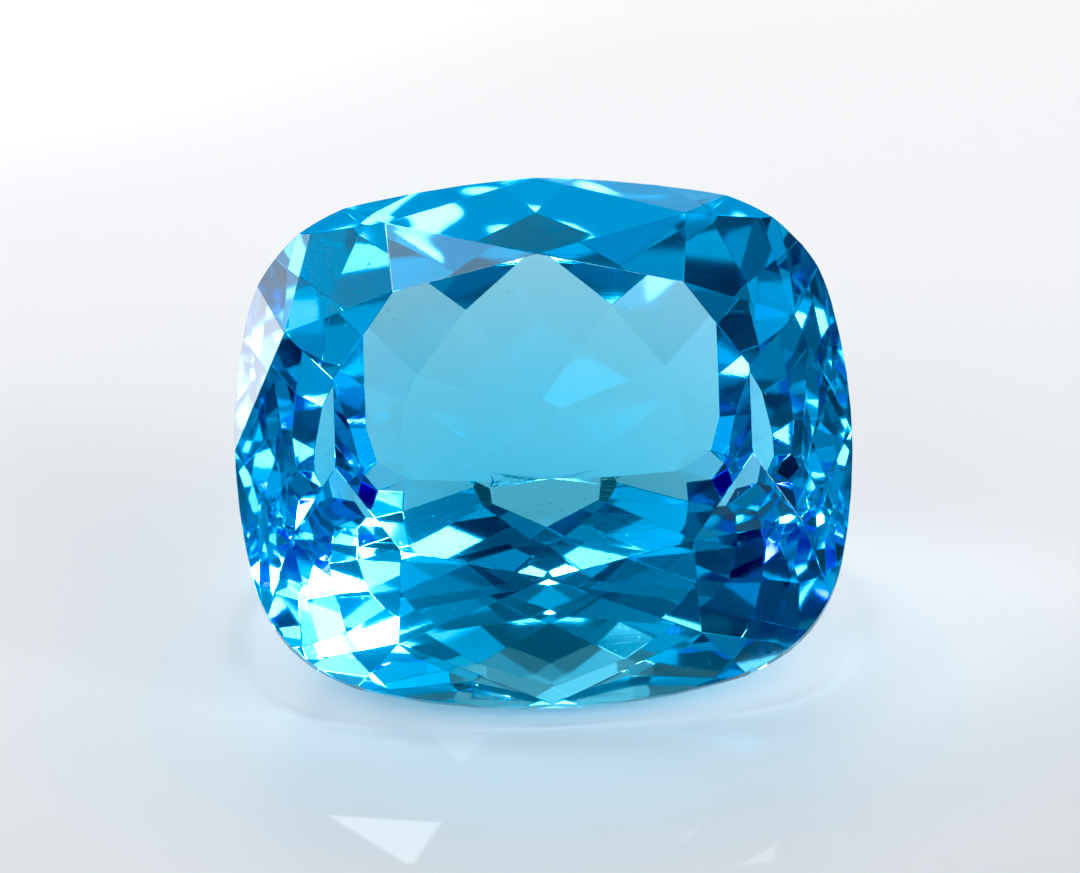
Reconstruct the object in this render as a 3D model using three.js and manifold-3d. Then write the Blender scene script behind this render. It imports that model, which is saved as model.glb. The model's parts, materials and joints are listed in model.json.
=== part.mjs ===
// A loose cushion-cut blue topaz, in millimetres, +Z up, lying at rest on one facet of its pavilion.
//
// The stone is one solid, shaped the way a cutter shapes it: plane after plane is taken off a block of
// rough until only the facets are left. Each plane is described in the stone's own frame, where the table
// faces +Z, the long side of the outline runs along X and the girdle's middle is at z = 0. At the end the
// stone is turned so that its resting facet lies flat on the XY plane.

import Module from "manifold-3d";
import * as THREE from "three";
import { mergeVertices } from "three/addons/utils/BufferGeometryUtils.js";

const wasm = await Module();
wasm.setup();

// Outline, seen from above the table: two long sides, two short sides and four corners, all round arcs.
const LENGTH = 20;
const WIDTH = 17.9;
const LONG_SIDE_RADIUS = 24;
const SHORT_SIDE_RADIUS = 20;
const CORNER_RADIUS = 5;

// Girdle: a narrow polished band of small flats that follows the outline.
const GIRDLE_HEIGHT = 0.5;
const GIRDLE_FLATS = 96;

// Crown: table, 8 stars, 8 mains and 16 upper girdle facets. A main's face is the way it faces, in degrees
// from X; its tip is the bearing of the girdle point it runs out to; its angle is from the girdle plane; and
// blunt is half the width at which the table cuts it off, so 0 ends it in a point.
const CROWN_HEIGHT = 2.8; // from the girdle's middle to the table
const CROWN_MAINS = [
  { face: 0, tip: 0, angle: 38, blunt: 1.5 },
  { face: 43, tip: 52, angle: 31, blunt: 0 },
  { face: 90, tip: 90, angle: 36.5, blunt: 0 },
];
const STAR_DEPTH = 0.47; // how far down the crown the stars reach, as a share of the crown above the girdle

// Pavilion: rows of lozenges, from the girdle down to a keel, each cut until it meets the corners of the row
// above. Every second row lies between the others. An angle is that of a row's facets under the long sides.
// The rows' facets come in one quarter of the outline with the way they face, in degrees from X, and the
// bearing of the girdle point they hang from.
const PAVILION_ANGLES = [52.3, 49.2, 45, 41, 34, 29, 24];
const PLAIN_FACETS = [
  { face: 0, at: 0 },
  { face: 17, at: 11.5 },
  { face: 48, at: 52 },
  { face: 76, at: 80.5 },
  { face: 90, at: 90 },
];
const STAGGERED_FACETS = [
  { face: 8, at: 5.7 },
  { face: 32, at: 29 },
  { face: 63, at: 74.7 },
  { face: 83, at: 85.25 },
];
const KEEL_LENGTH = 8;
const RESTING_ROW = 2; // counted from 0; the stone lies on this row's facet under its long side at -Y

const degrees = THREE.MathUtils.degToRad;

// ---------------------------------------------------------------- outline

// The corner arc touches both side arcs from inside.
function cornerCentre() {
  const toLong = LONG_SIDE_RADIUS - CORNER_RADIUS;
  const toShort = SHORT_SIDE_RADIUS - CORNER_RADIUS;
  const long = new THREE.Vector2(0, WIDTH / 2 - LONG_SIDE_RADIUS);
  const short = new THREE.Vector2(LENGTH / 2 - SHORT_SIDE_RADIUS, 0);
  const apart = long.distanceTo(short);
  const along = (toLong ** 2 - toShort ** 2 + apart ** 2) / (2 * apart);
  const across = Math.sqrt(toLong ** 2 - along ** 2);
  const line = short.clone().sub(long).divideScalar(apart);
  return long.addScaledVector(line, along).add(new THREE.Vector2(line.y, -line.x).multiplyScalar(across));
}
const CORNER = cornerCentre();

// How far the outline reaches in a direction: the distance from the middle to the tangent that faces it.
function reach(bearing) {
  const x = Math.abs(Math.cos(bearing));
  const y = Math.abs(Math.sin(bearing));
  const longSide = (WIDTH / 2 - LONG_SIDE_RADIUS) * y + LONG_SIDE_RADIUS;
  const shortSide = (LENGTH / 2 - SHORT_SIDE_RADIUS) * x + SHORT_SIDE_RADIUS;
  const corner = CORNER.x * x + CORNER.y * y + CORNER_RADIUS;
  if (Math.atan2(y, x) > Math.atan2(CORNER.y + LONG_SIDE_RADIUS - WIDTH / 2, CORNER.x)) return longSide;
  if (Math.atan2(y, x) < Math.atan2(CORNER.y, CORNER.x + SHORT_SIDE_RADIUS - LENGTH / 2)) return shortSide;
  return corner;
}

// The point where the outline faces a direction.
function outlinePoint(bearing) {
  const x = Math.cos(bearing);
  const y = Math.sin(bearing);
  const step = 1e-4;
  const turn = (reach(bearing + step) - reach(bearing - step)) / (2 * step);
  return new THREE.Vector2(reach(bearing) * x - turn * y, reach(bearing) * y + turn * x);
}

// One quarter's facets, mirrored into the other three and put in order round the stone, now in radians.
function allRound(quarter, place) {
  const turns = [(a) => a, (a) => 180 - a, (a) => 180 + a, (a) => 360 - a];
  const found = [];
  for (const facet of quarter) {
    for (const turn of turns) {
      const face = degrees(turn(facet.face) % 360);
      if (found.some((other) => other.face === face)) continue;
      found.push({ ...facet, face, [place]: degrees(turn(facet[place]) % 360) });
    }
  }
  return found.sort((a, b) => a.face - b.face);
}

// ---------------------------------------------------------------- facets

const GIRDLE_TOP = GIRDLE_HEIGHT / 2;

function girdlePlanes() {
  return Array.from({ length: GIRDLE_FLATS }, (_, i) => {
    const bearing = degrees((i * 360) / GIRDLE_FLATS);
    return new THREE.Plane(new THREE.Vector3(Math.cos(bearing), Math.sin(bearing), 0), -reach(bearing));
  });
}

// A plane that faces a bearing and leans in towards the table, through one point.
function leaningPlane(bearing, angle, through) {
  const normal = new THREE.Vector3(
    Math.cos(bearing) * Math.sin(angle),
    Math.sin(bearing) * Math.sin(angle),
    Math.cos(angle),
  );
  return new THREE.Plane().setFromNormalAndCoplanarPoint(normal, through);
}

function girdlePoint(bearing, z) {
  const { x, y } = outlinePoint(bearing);
  return new THREE.Vector3(x, y, z);
}

// The point that three planes share.
function meeting(a, b, c) {
  const top = b.normal.clone().cross(c.normal).multiplyScalar(-a.constant);
  top.addScaledVector(c.normal.clone().cross(a.normal), -b.constant);
  top.addScaledVector(a.normal.clone().cross(b.normal), -c.constant);
  return top.divideScalar(a.normal.dot(b.normal.clone().cross(c.normal)));
}

function crownPlanes() {
  const table = new THREE.Plane(new THREE.Vector3(0, 0, 1), -CROWN_HEIGHT);
  const starFoot = CROWN_HEIGHT - STAR_DEPTH * (CROWN_HEIGHT - GIRDLE_TOP);
  const junctionLevel = new THREE.Plane(new THREE.Vector3(0, 0, 1), -starFoot);
  const mains = allRound(CROWN_MAINS, "tip").map((main) => {
    const plane = leaningPlane(main.face, degrees(main.angle), girdlePoint(main.face, GIRDLE_TOP));
    const along = new THREE.Vector3(-Math.sin(main.face), Math.cos(main.face), 0);
    const middle = meeting(plane, table, new THREE.Plane(along, 0));
    const corner = (side) => middle.clone().addScaledVector(along, side * main.blunt);
    return { plane, tip: main.tip, before: corner(-1), after: corner(1) };
  });
  const planes = [table, ...mains.map((main) => main.plane)];
  mains.forEach((main, i) => {
    const next = mains[(i + 1) % mains.length];
    const junction = meeting(main.plane, next.plane, junctionLevel);
    planes.push(new THREE.Plane().setFromCoplanarPoints(main.after, junction, next.before));
    const gap = (next.tip - main.tip + 2 * Math.PI) % (2 * Math.PI);
    const from = girdlePoint(main.tip, GIRDLE_TOP);
    const between = girdlePoint(main.tip + gap / 2, GIRDLE_TOP);
    const to = girdlePoint(next.tip, GIRDLE_TOP);
    planes.push(new THREE.Plane().setFromCoplanarPoints(from, between, junction));
    planes.push(new THREE.Plane().setFromCoplanarPoints(between, to, junction));
  });
  return planes;
}

// A pavilion facet. A row is about as deep all round the stone, so where the way in to the keel is longer
// its facets are flatter.
function pavilionPlane(bearing, angle, through) {
  const wayIn = reach(bearing) - (KEEL_LENGTH / 2) * Math.abs(Math.cos(bearing));
  const slope = Math.atan((Math.tan(angle) * WIDTH) / 2 / wayIn);
  const normal = leaningPlane(bearing, slope, through).normal;
  normal.z *= -1;
  return new THREE.Plane().setFromNormalAndCoplanarPoint(normal, through);
}

// The rows, from the girdle down. The first two start at the girdle; a facet of any later row starts from
// the corner below the facet two rows up, where the two facets between them come together.
function pavilionRows() {
  const plain = allRound(PLAIN_FACETS, "at");
  const staggered = allRound(STAGGERED_FACETS, "at");
  const rows = [];
  PAVILION_ANGLES.forEach((angle, i) => {
    const facets = i % 2 ? staggered : plain;
    rows.push(facets.map((facet, j) => {
      const count = facets.length;
      let through = girdlePoint(facet.at, -GIRDLE_TOP);
      if (i > 1) {
        const before = rows[i - 1][i % 2 ? j : (j + count - 1) % count];
        const after = rows[i - 1][i % 2 ? (j + 1) % count : j];
        through = meeting(before, after, rows[i - 2][j]);
      }
      return pavilionPlane(facet.face, degrees(angle), through);
    }));
  });
  return rows;
}
const PAVILION_ROWS = pavilionRows();

// ---------------------------------------------------------------- the stone

// The rough is a block larger than the stone, and every plane takes off what lies on its outer side.
function cutStone() {
  const rough = new THREE.BoxGeometry(2 * LENGTH, 2 * LENGTH, 2 * LENGTH);
  let stone = solidFrom(rough);
  for (const { normal, constant } of [...girdlePlanes(), ...PAVILION_ROWS.flat(), ...crownPlanes()]) {
    stone = stone.trimByPlane(normal.clone().negate().toArray(), constant);
  }
  return geometryFrom(stone);
}

function solidFrom(geometry) {
  const bare = geometry.clone();
  bare.deleteAttribute("normal");
  bare.deleteAttribute("uv");
  const merged = mergeVertices(bare);
  const vertProperties = new Float32Array(merged.getAttribute("position").array);
  const triVerts = new Uint32Array(merged.getIndex().array);
  return new wasm.Manifold(new wasm.Mesh({ numProp: 3, vertProperties, triVerts }));
}

function geometryFrom(solid) {
  const { vertProperties, triVerts } = solid.getMesh();
  const geometry = new THREE.BufferGeometry();
  geometry.setAttribute("position", new THREE.BufferAttribute(vertProperties, 3));
  geometry.setIndex(new THREE.BufferAttribute(triVerts, 1));
  const faceted = geometry.toNonIndexed();
  faceted.computeVertexNormals();
  return faceted;
}

const blueTopaz = new THREE.MeshStandardMaterial({
  name: "blue topaz",
  color: new THREE.Color(0.2, 0.62, 0.86),
  roughness: 0.03,
  metalness: 0,
  transparent: true,
  opacity: 0.6,
});

const topaz = new THREE.Mesh(cutStone(), blueTopaz);
topaz.name = "topaz";

// How squarely a facet faces -Y, seen from above.
const facing = ({ normal }) => -normal.y / Math.hypot(normal.x, normal.y);

// Turns the resting facet down, then sets the stone on the XY plane, the middle of its box over the origin.
function atRest(mesh) {
  const lying = new THREE.Group();
  lying.add(mesh);
  const facet = PAVILION_ROWS[RESTING_ROW].reduce((a, b) => (facing(a) > facing(b) ? a : b));
  lying.quaternion.setFromUnitVectors(facet.normal, new THREE.Vector3(0, 0, -1));
  const box = new THREE.Box3().setFromObject(lying, true);
  const middle = box.getCenter(new THREE.Vector3());
  lying.position.set(-middle.x, -middle.y, -box.min.z);
  return lying;
}

const part = new THREE.Group();
part.add(atRest(topaz));

export default part;
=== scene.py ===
"""Looks of the cushion-cut blue topaz. Metres, +Z up, the stone lying on one facet of its pavilion."""

import json
import math
import random

import bmesh
import bpy
from mathutils import Matrix, Vector


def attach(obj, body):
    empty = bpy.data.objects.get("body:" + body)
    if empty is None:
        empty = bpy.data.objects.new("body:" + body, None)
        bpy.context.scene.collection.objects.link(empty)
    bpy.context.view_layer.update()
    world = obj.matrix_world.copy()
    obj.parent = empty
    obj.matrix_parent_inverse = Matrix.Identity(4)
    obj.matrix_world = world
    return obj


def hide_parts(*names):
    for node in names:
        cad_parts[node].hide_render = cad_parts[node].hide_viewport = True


MM = 0.001

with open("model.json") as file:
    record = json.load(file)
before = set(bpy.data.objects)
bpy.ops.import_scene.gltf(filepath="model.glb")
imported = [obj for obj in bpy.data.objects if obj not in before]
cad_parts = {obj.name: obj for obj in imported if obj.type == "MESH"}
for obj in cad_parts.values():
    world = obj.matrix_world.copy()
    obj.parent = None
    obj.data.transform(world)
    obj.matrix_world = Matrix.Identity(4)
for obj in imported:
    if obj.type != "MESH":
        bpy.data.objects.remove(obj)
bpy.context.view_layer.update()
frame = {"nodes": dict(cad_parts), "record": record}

# ------------------------------------------------------------------ the stone's place

LEAN = math.radians(45)  # of the table, from level
TABLE_WAY = Vector((0, -math.sin(LEAN), math.cos(LEAN)))  # out of the table
UP_THE_STONE = Vector((0, math.cos(LEAN), math.sin(LEAN)))  # along the table, away from the camera
TABLE_MIDDLE = next(Vector(mount["pos_m"]) for mount in frame["record"]["mounts"] if mount["name"] == "table")
CROWN_HEIGHT = 2.8 * MM  # from the girdle's middle to the table
GIRDLE_MIDDLE = TABLE_MIDDLE - TABLE_WAY * CROWN_HEIGHT

# ------------------------------------------------------------------ the stone's look

TOPAZ_IOR = 1.62
ABSORPTION_COLOR = (0.35, 0.865, 0.985, 1)  # of the light that is let through
ABSORPTION_DENSITY = 200  # per metre

# A noise is given by its scale per mm, and by the part of its 0 to 1 over which the look changes.
POLISH_PATCHES = 0.35
POLISH_NOISE = (0.35, 0.75)
POLISH = (0.02, 0.06)  # roughness where the polish is best and worst
POLISH_LINES = 0.4
POLISH_LINE_TURN = (0.5, 0.4, 0.9)
POLISH_LINE_SQUEEZE = (1, 1, 40)
POLISH_LINE_DEPTH = 0.0015 * MM
POLISH_LINE_STRENGTH = 0.2
SPECKS = 5
SPECK_NOISE = (0.82, 0.85)
SPECK_DEPTH = 4  # times a line's

WELD = 0.001 * MM
FLAT_WITHIN = math.radians(0.3)  # triangles of one facet are this nearly level with each other
KEEL_SLACK = 0.002 * MM  # a corner this near the lowest one is on the keel
KEEL_CUTS = 60
CHIPPED = [(-3.1, -0.3), (2.1, 3.9)]  # mm along the keel
CHIP_HEIGHT = 0.12 * MM
CHIP_DEEPEST = 0.75  # as a share of the chips' height, like the next
CHIP_ASIDE = 0.3
CHIP_SEED = 4
NICK_WAY = Vector((0.74, 0.52, 0.42)).normalized()
NICK_DEPTH = 0.05 * MM
JUNCTION = 0.012 * MM
SHORTEST_SOFTENED = 0.3 * MM

# ------------------------------------------------------------------ the camera's settings

VIEW_TILT = math.radians(17.5)  # from square on the table to the camera
VIEW_ROLL = math.radians(2)
VIEW_DISTANCE = 600 * MM
VIEW_NEAREST = 10 * MM
VIEW_FARTHEST = 10000 * MM
SENSOR_WIDTH = 36
PICTURE = (1080, 873)
PIXELS_PER_MM = 30.85
STONE_AT = (543.5, 442)  # where the girdle's middle comes in the picture

# ------------------------------------------------------------------ the floor's settings

FLOOR_HALF = 600 * MM
FLOOR_GAP = 0.03 * MM  # air between the resting facet and the floor
FLOOR_ROUGHNESS = 0.3
FLOOR_SHINE = 0.3
FLOOR_WAY = (-0.1, 1, 0)  # the way the floor's painted light gets lighter
PAINTED_FLOOR_SHADES = [  # painted light: the floor's colour by distance that way in mm, lighter towards the back left
    (-20, (0.61, 0.64, 0.67)),
    (5, (0.71, 0.735, 0.76)),
    (22, (0.79, 0.80, 0.82)),
    (42, (0.82, 0.825, 0.84)),
    (60, (0.93, 0.93, 0.93)),
]

# Places on the floor: middle and reach in mm, and where they start to fade as a share of the reach.
# Painted shade: round the stone the floor's colour is multiplied by this pale blue, standing in for the blue
# shade the stone casts.
PAINTED_BLUE_SHADE = (0.78, 0.92, 1, 1)
BLUE_SHADE_PLACE = ((0, -6), (20, 14), 0.2)
PAINTED_FILL_COLOR = (0.93, 0.97, 1, 1)  # of the painted light added round the stone
PAINTED_GLOW_COLOR = (0.3, 0.75, 1, 1)  # and of the painted glow under it
UNDER_STONE = ((0, -0.8), (9, 7), 0.5)
PAINTED_GLOWS = [  # places of painted light on the floor, each with its light: a glow round the stone, a fill for the stone's shadow on its right, and lighter floor far back on the left
    ((1, -1), (19.4, 16), 0.3, 0.076),
    ((11.5, -2.2), (14, 11), 0, 0.15),
    ((-26, 54), (34, 26), 0, 0.3),
]
PAINTED_OUTLINE_LIGHT = [  # painted light in the shape of the stone's outline, filling in the shadow the stone casts; the last, with less than no light, is painted shade under the stone
    ((0, -0.8), (10.5, 6.4), 0.88, 0.21),
    ((0, -0.6), (14.75, 9.3), 0.29, 0.11),
    ((0, -0.6), (8.9, 5.6), 0.58, -0.2),
]
# Painted light: bright blue patches glowing on the floor under the stone, where light through the stone would
# gather.
PAINTED_PATCH_PLACE = ((0, 0), (7.5, 4.8), 0.5)
PATCHES = 0.3
PATCH_DISTORTION = 1.2
PATCH_NOISE = (0.5, 0.6)
PAINTED_PATCH_LIGHT = 2.2
PAINTED_THROWN_LIGHT = [  # painted light, patches where single facets would throw light on the floor: corners in mm, anticlockwise, and light
    ([(-7.6, -11.99), (-4.91, -15.7), (-4.5, -15.67), (-3.54, -12.82)], 0.16),
    ([(-4.21, -6.88), (-2.99, -9.37), (-1.79, -7.03)], 0.05),
    ([(5.42, -16.58), (6.95, -16.43), (7.13, -14.79)], 0.08),
    ([(3.63, -14.4), (4.05, -15.23), (5.13, -12.85)], 0.03),
    ([(7.72, -8.54), (8.01, -9.71), (8.07, -8.56)], 0.06),
]
PAINTED_THROWN_RIM = 0.25  # width in mm of the soft rim of that painted light

# ------------------------------------------------------------------ the light's settings

BACKDROP = (0.87, 0.88, 0.91, 1)  # what the camera sees past the floor
ROOM_COLOR = (0.8, 0.8, 0.8, 1)  # times the light of the room and the lamps
ROOM_LIGHT = 0.12
LAMPS = {  # azimuth, elevation and spread in degrees, light in the middle
    "overhead": (358, 87, 4.6, 40),
    "high_left": (326, 59, 4.8, 17),
    "left_window": (298, 35, 5.8, 12),
    "front_left": (209, 38, 8.5, 2.8),
    "key": (114, 23, 5.2, 15),
    "high_right": (101, 52, 10.8, 1.2),
    "front_right": (143, 30, 6.4, 6),
    "back": (358, 32, 10.8, 1.1),
    "front": (185, 40, 12.1, 0.7),
    "left_low": (290, 6, 4.9, 22),
    "left": (253, 46, 6.7, 1),
    "right": (70, 18, 13.5, 0.55),
}
MOTTLE = 0.85  # how uneven the room and lamps are, as a share of their light
MOTTLE_SCALE = 9
MOTTLE_NOISE = (0.3, 0.7)

WHITE = 1
BLOOM = 0.3
BLOOM_SIZE = 0.3
SPILL = 0.45
BLACK_LEVEL = 0.03
SATURATION = 1.09
BOUNCES = {"max": 32, "transmission": 32, "glossy": 16, "diffuse": 2}


# ------------------------------------------------------------------ helpers

def add_node(tree, kind, inputs=None, **settings):
    """A new node. Each input, given by name or place, is linked if its value is a socket and set if not."""
    node = tree.nodes.new(kind)
    for name, value in settings.items():
        setattr(node, name, value)
    for name, value in (inputs or {}).items():
        if isinstance(value, bpy.types.NodeSocket):
            tree.links.new(value, node.inputs[name])
        else:
            node.inputs[name].default_value = value
    return node


def maths(tree, operation, *values, kind="ShaderNodeMath"):
    return add_node(tree, kind, dict(enumerate(values)), operation=operation).outputs[0]


def vector_maths(tree, operation, *values):
    node = add_node(tree, "ShaderNodeVectorMath", dict(enumerate(values)), operation=operation)
    return node.outputs["Value" if operation in ("DOT_PRODUCT", "LENGTH") else "Vector"]


def noise(tree, place, scale, detail=0, distortion=0):
    inputs = {"Vector": place, "Scale": scale, "Detail": detail, "Distortion": distortion}
    return add_node(tree, "ShaderNodeTexNoise", inputs).outputs["Fac"]


def remap(tree, value, before, after=(0, 1), **settings):
    """The value with the range before stretched to the range after, and held at its ends."""
    inputs = {"Value": value}
    inputs.update({"From Min": before[0], "From Max": before[1]})
    inputs.update({"To Min": after[0], "To Max": after[1]})
    return add_node(tree, "ShaderNodeMapRange", inputs, **settings).outputs["Result"]


def mix_colors(tree, share, first, second, **settings):
    inputs = {"Factor": share, "A": first, "B": second}
    return add_node(tree, "ShaderNodeMix", inputs, data_type="RGBA", **settings).outputs["Result"]


def new_material(name):
    material = bpy.data.materials.new(name)
    material.use_nodes = True
    material.node_tree.nodes.clear()
    return material


def new_object(name, data):
    obj = bpy.data.objects.new(name, data)
    bpy.context.collection.objects.link(obj)
    return obj


# ------------------------------------------------------------------ the stone

def topaz_material():
    """Clear blue all through. The polish is a little uneven, with fine lines and a few specks."""
    material = new_material("topaz")
    tree = material.node_tree
    place = add_node(tree, "ShaderNodeTexCoord").outputs["Object"]

    polish = remap(tree, noise(tree, place, POLISH_PATCHES / MM), POLISH_NOISE, POLISH)
    squeeze = {"Vector": place, "Rotation": POLISH_LINE_TURN, "Scale": POLISH_LINE_SQUEEZE}
    squeezed = add_node(tree, "ShaderNodeMapping", squeeze).outputs[0]
    lines = noise(tree, squeezed, POLISH_LINES / MM, detail=1)
    specks = remap(tree, noise(tree, place, SPECKS / MM), SPECK_NOISE, (0, -SPECK_DEPTH))
    bump = add_node(tree, "ShaderNodeBump", {
        "Strength": POLISH_LINE_STRENGTH,
        "Distance": POLISH_LINE_DEPTH,
        "Height": maths(tree, "ADD", lines, specks),
    })
    surface = add_node(tree, "ShaderNodeBsdfPrincipled", {
        "Base Color": (1, 1, 1, 1),
        "Roughness": polish,
        "IOR": TOPAZ_IOR,
        "Transmission Weight": 1,
        "Normal": bump.outputs["Normal"],
    })
    absorption = {"Color": ABSORPTION_COLOR, "Density": ABSORPTION_DENSITY}
    body = add_node(tree, "ShaderNodeVolumeAbsorption", absorption)
    add_node(tree, "ShaderNodeOutputMaterial", {
        "Surface": surface.outputs["BSDF"],
        "Volume": body.outputs["Volume"],
    })
    return material


def facets(node):
    """The node's solid with its triangles joined back into facets."""
    bm = bmesh.new()
    bm.from_mesh(node.data)
    bmesh.ops.remove_doubles(bm, verts=bm.verts, dist=WELD)
    bmesh.ops.dissolve_limit(bm, angle_limit=FLAT_WITHIN, verts=bm.verts, edges=bm.edges)
    return bm


def chip_keel(bm):
    """Small chips out of the keel, the sharp edge where the two sides of the pavilion meet."""
    bottom = min(vert.co.dot(TABLE_WAY) for vert in bm.verts)
    geom = bm.verts[:] + bm.edges[:] + bm.faces[:]
    bmesh.ops.bisect_plane(bm, geom=geom, plane_co=TABLE_WAY * (bottom + CHIP_HEIGHT), plane_no=TABLE_WAY)

    def on_keel(vert):
        return vert.co.dot(TABLE_WAY) < bottom + KEEL_SLACK

    keel = [edge for edge in bm.edges if all(on_keel(vert) for vert in edge.verts)]
    bmesh.ops.subdivide_edges(bm, edges=keel, cuts=KEEL_CUTS)
    below = [face for face in bm.faces if any(on_keel(vert) for vert in face.verts)]
    bmesh.ops.triangulate(bm, faces=below)
    draw = random.Random(CHIP_SEED)
    for vert in bm.verts:
        if on_keel(vert) and any(first < vert.co.x / MM < last for first, last in CHIPPED):
            vert.co += TABLE_WAY * draw.uniform(0, CHIP_DEEPEST) * CHIP_HEIGHT
            vert.co += UP_THE_STONE * draw.uniform(-CHIP_ASIDE, CHIP_ASIDE) * CHIP_HEIGHT


def nick_girdle(bm):
    """A nick in the girdle: one corner struck off flat."""
    corner = max(bm.verts, key=lambda vert: vert.co.dot(NICK_WAY)).co
    geom = bm.verts[:] + bm.edges[:] + bm.faces[:]
    cut = bmesh.ops.bisect_plane(
        bm, geom=geom, plane_co=corner - NICK_WAY * NICK_DEPTH, plane_no=NICK_WAY, clear_outer=True)
    rim = [item for item in cut["geom_cut"] if isinstance(item, bmesh.types.BMEdge)]
    bmesh.ops.holes_fill(bm, edges=rim)


def soften_junctions(bm):
    """The narrow rounding that polish leaves where two facets meet."""
    long_edges = [edge for edge in bm.edges if edge.calc_length() > SHORTEST_SOFTENED]
    bmesh.ops.bevel(bm, geom=long_edges, offset=JUNCTION, segments=1, affect="EDGES", clamp_overlap=False)


def cut_stone(node):
    """The node's solid with the wear and rounding that are too small for it."""
    bm = facets(node)
    chip_keel(bm)
    nick_girdle(bm)
    soften_junctions(bm)
    bmesh.ops.recalc_face_normals(bm, faces=bm.faces)
    mesh = bpy.data.meshes.new("stone")
    bm.to_mesh(mesh)
    bm.free()
    for face in mesh.polygons:
        face.use_smooth = False
    mesh.materials.append(topaz_material())
    return new_object("stone", mesh)


stone = cut_stone(frame["nodes"]["topaz"])
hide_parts("topaz")
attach(stone, "root")


# ------------------------------------------------------------------ the floor

def spread(tree, place, middle, reach, start, cushion=False):
    """1 round the middle, fading from start on to 0 at the reach. The reach is an ellipse or, for a cushion,
    the curve on which the cubes of the two shares of the reach add up to 1."""
    scale = (1 / (reach[0] * MM), 1 / (reach[1] * MM), 0)
    shift = (-middle[0] / reach[0], -middle[1] / reach[1], 0)
    shares = vector_maths(tree, "MULTIPLY_ADD", place, scale, shift)
    if cushion:
        sizes = vector_maths(tree, "ABSOLUTE", shares)
        squares = vector_maths(tree, "MULTIPLY", sizes, sizes)
        away = maths(tree, "POWER", vector_maths(tree, "DOT_PRODUCT", squares, sizes), 1 / 3)
    else:
        away = vector_maths(tree, "LENGTH", shares)
    return remap(tree, away, (1, start), interpolation_type="SMOOTHSTEP")


def inside(tree, place, corners):
    """1 between the corners and 0 outside them."""
    least = None
    for (x0, y0), (x1, y1) in zip(corners, corners[1:] + corners[:1]):
        length = math.hypot(x1 - x0, y1 - y0)
        inward = ((y0 - y1) / length, (x1 - x0) / length, 0)
        edge = (x0 * inward[0] + y0 * inward[1]) * MM
        across = vector_maths(tree, "DOT_PRODUCT", place, inward)
        side = remap(tree, across, (edge, edge + PAINTED_THROWN_RIM * MM), interpolation_type="SMOOTHSTEP")
        least = side if least is None else maths(tree, "MINIMUM", least, side)
    return least


def floor_color(tree, place):
    """Pale, with painted light that makes it lighter towards the back left, and painted blue shade round the
    stone.
    """
    first, last = PAINTED_FLOOR_SHADES[0][0], PAINTED_FLOOR_SHADES[-1][0]
    along = remap(tree, vector_maths(tree, "DOT_PRODUCT", place, FLOOR_WAY), (first * MM, last * MM))
    shade = add_node(tree, "ShaderNodeValToRGB", {"Fac": along})
    elements = shade.color_ramp.elements
    while len(elements) < len(PAINTED_FLOOR_SHADES):
        elements.new(0.5)
    for element, (distance, color) in zip(elements, PAINTED_FLOOR_SHADES):
        element.position = (distance - first) / (last - first)
        element.color = (*color, 1)
    # where the painted blue shade falls
    near = spread(tree, place, *BLUE_SHADE_PLACE)
    return mix_colors(tree, near, shade.outputs["Color"], PAINTED_BLUE_SHADE, blend_type="MULTIPLY")


def painted_floor_light(tree, place):
    """Painted light: the floor glows where light that has come through the stone would fall. It is blue and
    patchy under the stone, and paler round it, where single facets throw patches of their own. More painted
    light fills in the stone's shadow and lightens the floor far back on the left, and painted shade darkens
    it just under the stone."""
    patches = noise(tree, place, PATCHES / MM, distortion=PATCH_DISTORTION)
    bright = remap(tree, patches, PATCH_NOISE, (0, PAINTED_PATCH_LIGHT))
    total = maths(tree, "MULTIPLY", bright, spread(tree, place, *PAINTED_PATCH_PLACE))
    lit = [(spread(tree, place, *where), light) for *where, light in PAINTED_GLOWS]
    lit += [(spread(tree, place, *where, cushion=True), light) for *where, light in PAINTED_OUTLINE_LIGHT]
    lit += [(inside(tree, place, corners), light) for corners, light in PAINTED_THROWN_LIGHT]
    for where, light in lit:
        total = maths(tree, "MULTIPLY_ADD", where, light, total)
    return mix_colors(tree, spread(tree, place, *UNDER_STONE), PAINTED_FILL_COLOR, PAINTED_GLOW_COLOR), total


def floor_material():
    material = new_material("floor")
    tree = material.node_tree
    place = add_node(tree, "ShaderNodeTexCoord").outputs["Object"]
    painted_light_color, light = painted_floor_light(tree, place)
    surface = add_node(tree, "ShaderNodeBsdfPrincipled", {
        "Base Color": floor_color(tree, place),
        "Roughness": FLOOR_ROUGHNESS,
        "Specular IOR Level": FLOOR_SHINE,
        # the floor's emission is painted light
        "Emission Color": painted_light_color,
        "Emission Strength": light,
    })
    add_node(tree, "ShaderNodeOutputMaterial", {"Surface": surface.outputs["BSDF"]})
    return material


def floor_sheet():
    mesh = bpy.data.meshes.new("floor")
    corners = [(x * FLOOR_HALF, y * FLOOR_HALF, -FLOOR_GAP) for x, y in ((-1, -1), (1, -1), (1, 1), (-1, 1))]
    mesh.from_pydata(corners, [], [(0, 1, 2, 3)])
    mesh.materials.append(floor_material())
    floor = new_object("floor", mesh)


# ------------------------------------------------------------------ light, camera and film

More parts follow.
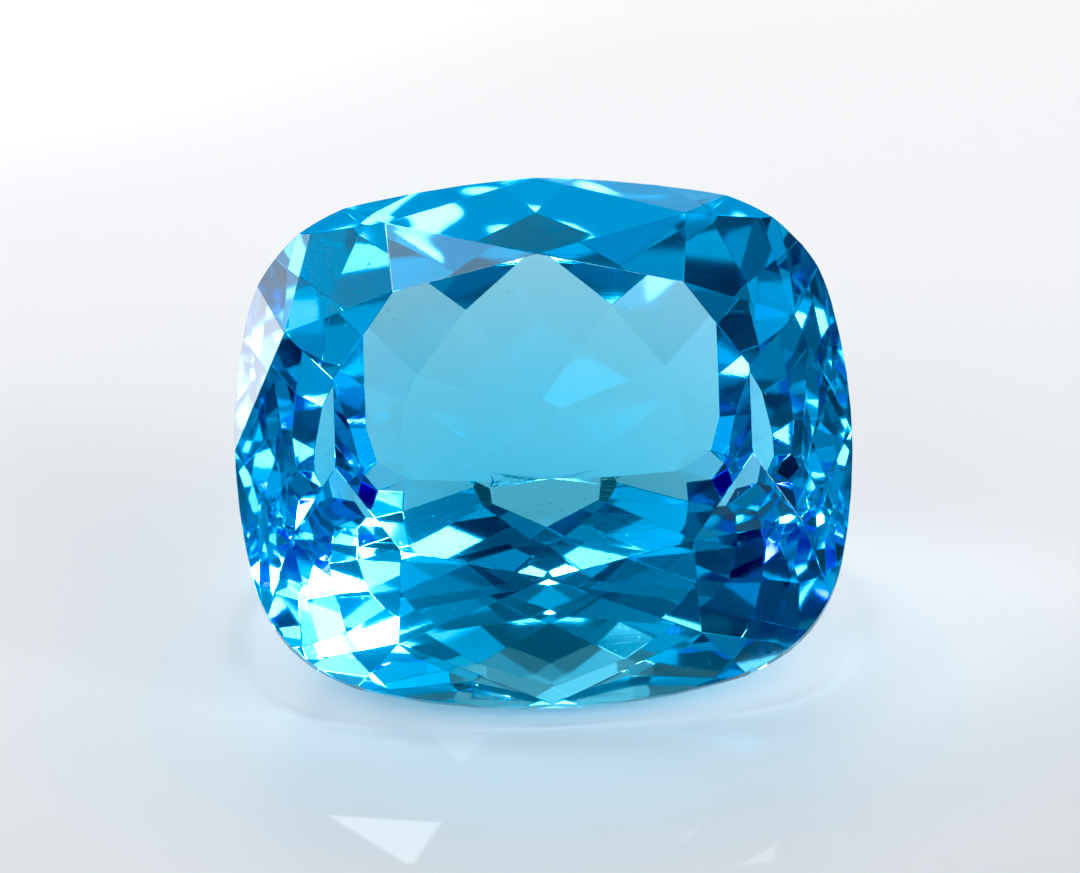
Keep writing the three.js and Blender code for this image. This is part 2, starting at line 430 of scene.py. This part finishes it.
def studio_light():
    """Soft lamps far off in an evenly lit room. Azimuth 0 is behind the stone, 90 to its right and 180 on the
    camera's side. Each lamp fades out from its middle over its spread."""
    world = bpy.data.worlds.new("studio")
    bpy.context.scene.world = world
    world.use_nodes = True
    tree = world.node_tree
    tree.nodes.clear()
    way = add_node(tree, "ShaderNodeTexCoord").outputs["Generated"]
    total = ROOM_LIGHT
    for azimuth, elevation, width, light in LAMPS.values():
        turn, rise = math.radians(azimuth), math.radians(elevation)
        axis = (math.sin(turn) * math.cos(rise), math.cos(turn) * math.cos(rise), math.sin(rise))
        away = maths(tree, "SUBTRACT", vector_maths(tree, "DOT_PRODUCT", way, axis), 1)
        fall = maths(tree, "EXPONENT", maths(tree, "DIVIDE", away, math.radians(width) ** 2))
        total = maths(tree, "MULTIPLY_ADD", fall, light, total)
    mottle = noise(tree, way, MOTTLE_SCALE, detail=1)
    uneven = remap(tree, mottle, MOTTLE_NOISE, (1 - MOTTLE, 1 + MOTTLE))
    strength = maths(tree, "MULTIPLY", total, uneven)
    room = add_node(tree, "ShaderNodeBackground", {"Color": ROOM_COLOR, "Strength": strength})
    backdrop = add_node(tree, "ShaderNodeBackground", {"Color": BACKDROP})
    seen = add_node(tree, "ShaderNodeLightPath").outputs["Is Camera Ray"]
    either = add_node(tree, "ShaderNodeMixShader", {0: seen, 1: room.outputs[0], 2: backdrop.outputs[0]})
    add_node(tree, "ShaderNodeOutputWorld", {"Surface": either.outputs[0]})


def camera():
    """Looks at the girdle's middle from in front, rolled a little, and moved aside to put it at STONE_AT."""
    elevation = math.pi / 2 - LEAN - VIEW_TILT
    back = Vector((0, -math.cos(elevation), math.sin(elevation)))
    right = Vector((0, 0, 1)).cross(back).normalized()
    up = back.cross(right)
    turned = Matrix((right, up, back)).transposed() @ Matrix.Rotation(-VIEW_ROLL, 3, "Z")
    off_right = (PICTURE[0] / 2 - STONE_AT[0]) / PIXELS_PER_MM * MM
    off_up = (STONE_AT[1] - PICTURE[1] / 2) / PIXELS_PER_MM * MM
    at = GIRDLE_MIDDLE + turned @ Vector((off_right, off_up, VIEW_DISTANCE))

    lens = bpy.data.cameras.new("camera")
    lens.sensor_width = SENSOR_WIDTH
    lens.lens = SENSOR_WIDTH * VIEW_DISTANCE / (PICTURE[0] / PIXELS_PER_MM * MM)
    lens.clip_start = VIEW_NEAREST
    lens.clip_end = VIEW_FARTHEST
    obj = new_object("camera", lens)
    obj.matrix_world = Matrix.Translation(at) @ turned.to_4x4()
    bpy.context.scene.camera = obj


def film_response():
    """Bloom round the brightest light, blown-out colour turning white, the faint veil taken off the shadows,
    and slightly richer colour."""
    scene = bpy.context.scene
    scene.use_nodes = True
    tree = scene.node_tree
    tree.nodes.clear()

    def step(operation, first, second):
        return maths(tree, operation, first, second, kind="CompositorNodeMath")

    bloom = {
        "Image": add_node(tree, "CompositorNodeRLayers").outputs["Image"],
        "Threshold": WHITE,
        "Strength": BLOOM,
        "Size": BLOOM_SIZE,
    }
    bloomed = add_node(tree, "CompositorNodeGlare", bloom, glare_type="BLOOM").outputs["Image"]
    red, green, blue = add_node(tree, "CompositorNodeSeparateColor", {0: bloomed}).outputs[:3]
    brightest = step("MAXIMUM", step("MAXIMUM", red, green), blue)
    spill = step("MULTIPLY", step("MAXIMUM", step("SUBTRACT", brightest, WHITE), 0), SPILL)
    levels = {}
    for index, channel in enumerate((red, green, blue)):
        level = step("SUBTRACT", step("ADD", channel, spill), BLACK_LEVEL)
        levels[index] = step("DIVIDE", step("MAXIMUM", level, 0), 1 - BLACK_LEVEL)
    joined = add_node(tree, "CompositorNodeCombineColor", levels).outputs[0]
    richer = add_node(tree, "CompositorNodeHueSat", {"Image": joined, "Saturation": SATURATION}).outputs[0]
    add_node(tree, "CompositorNodeComposite", {"Image": richer})


floor_sheet()
studio_light()
camera()
film_response()

scene = bpy.context.scene
scene.view_settings.view_transform = "Standard"
for name, limit in BOUNCES.items():
    setattr(scene.cycles, f"{name}_bounces", limit)
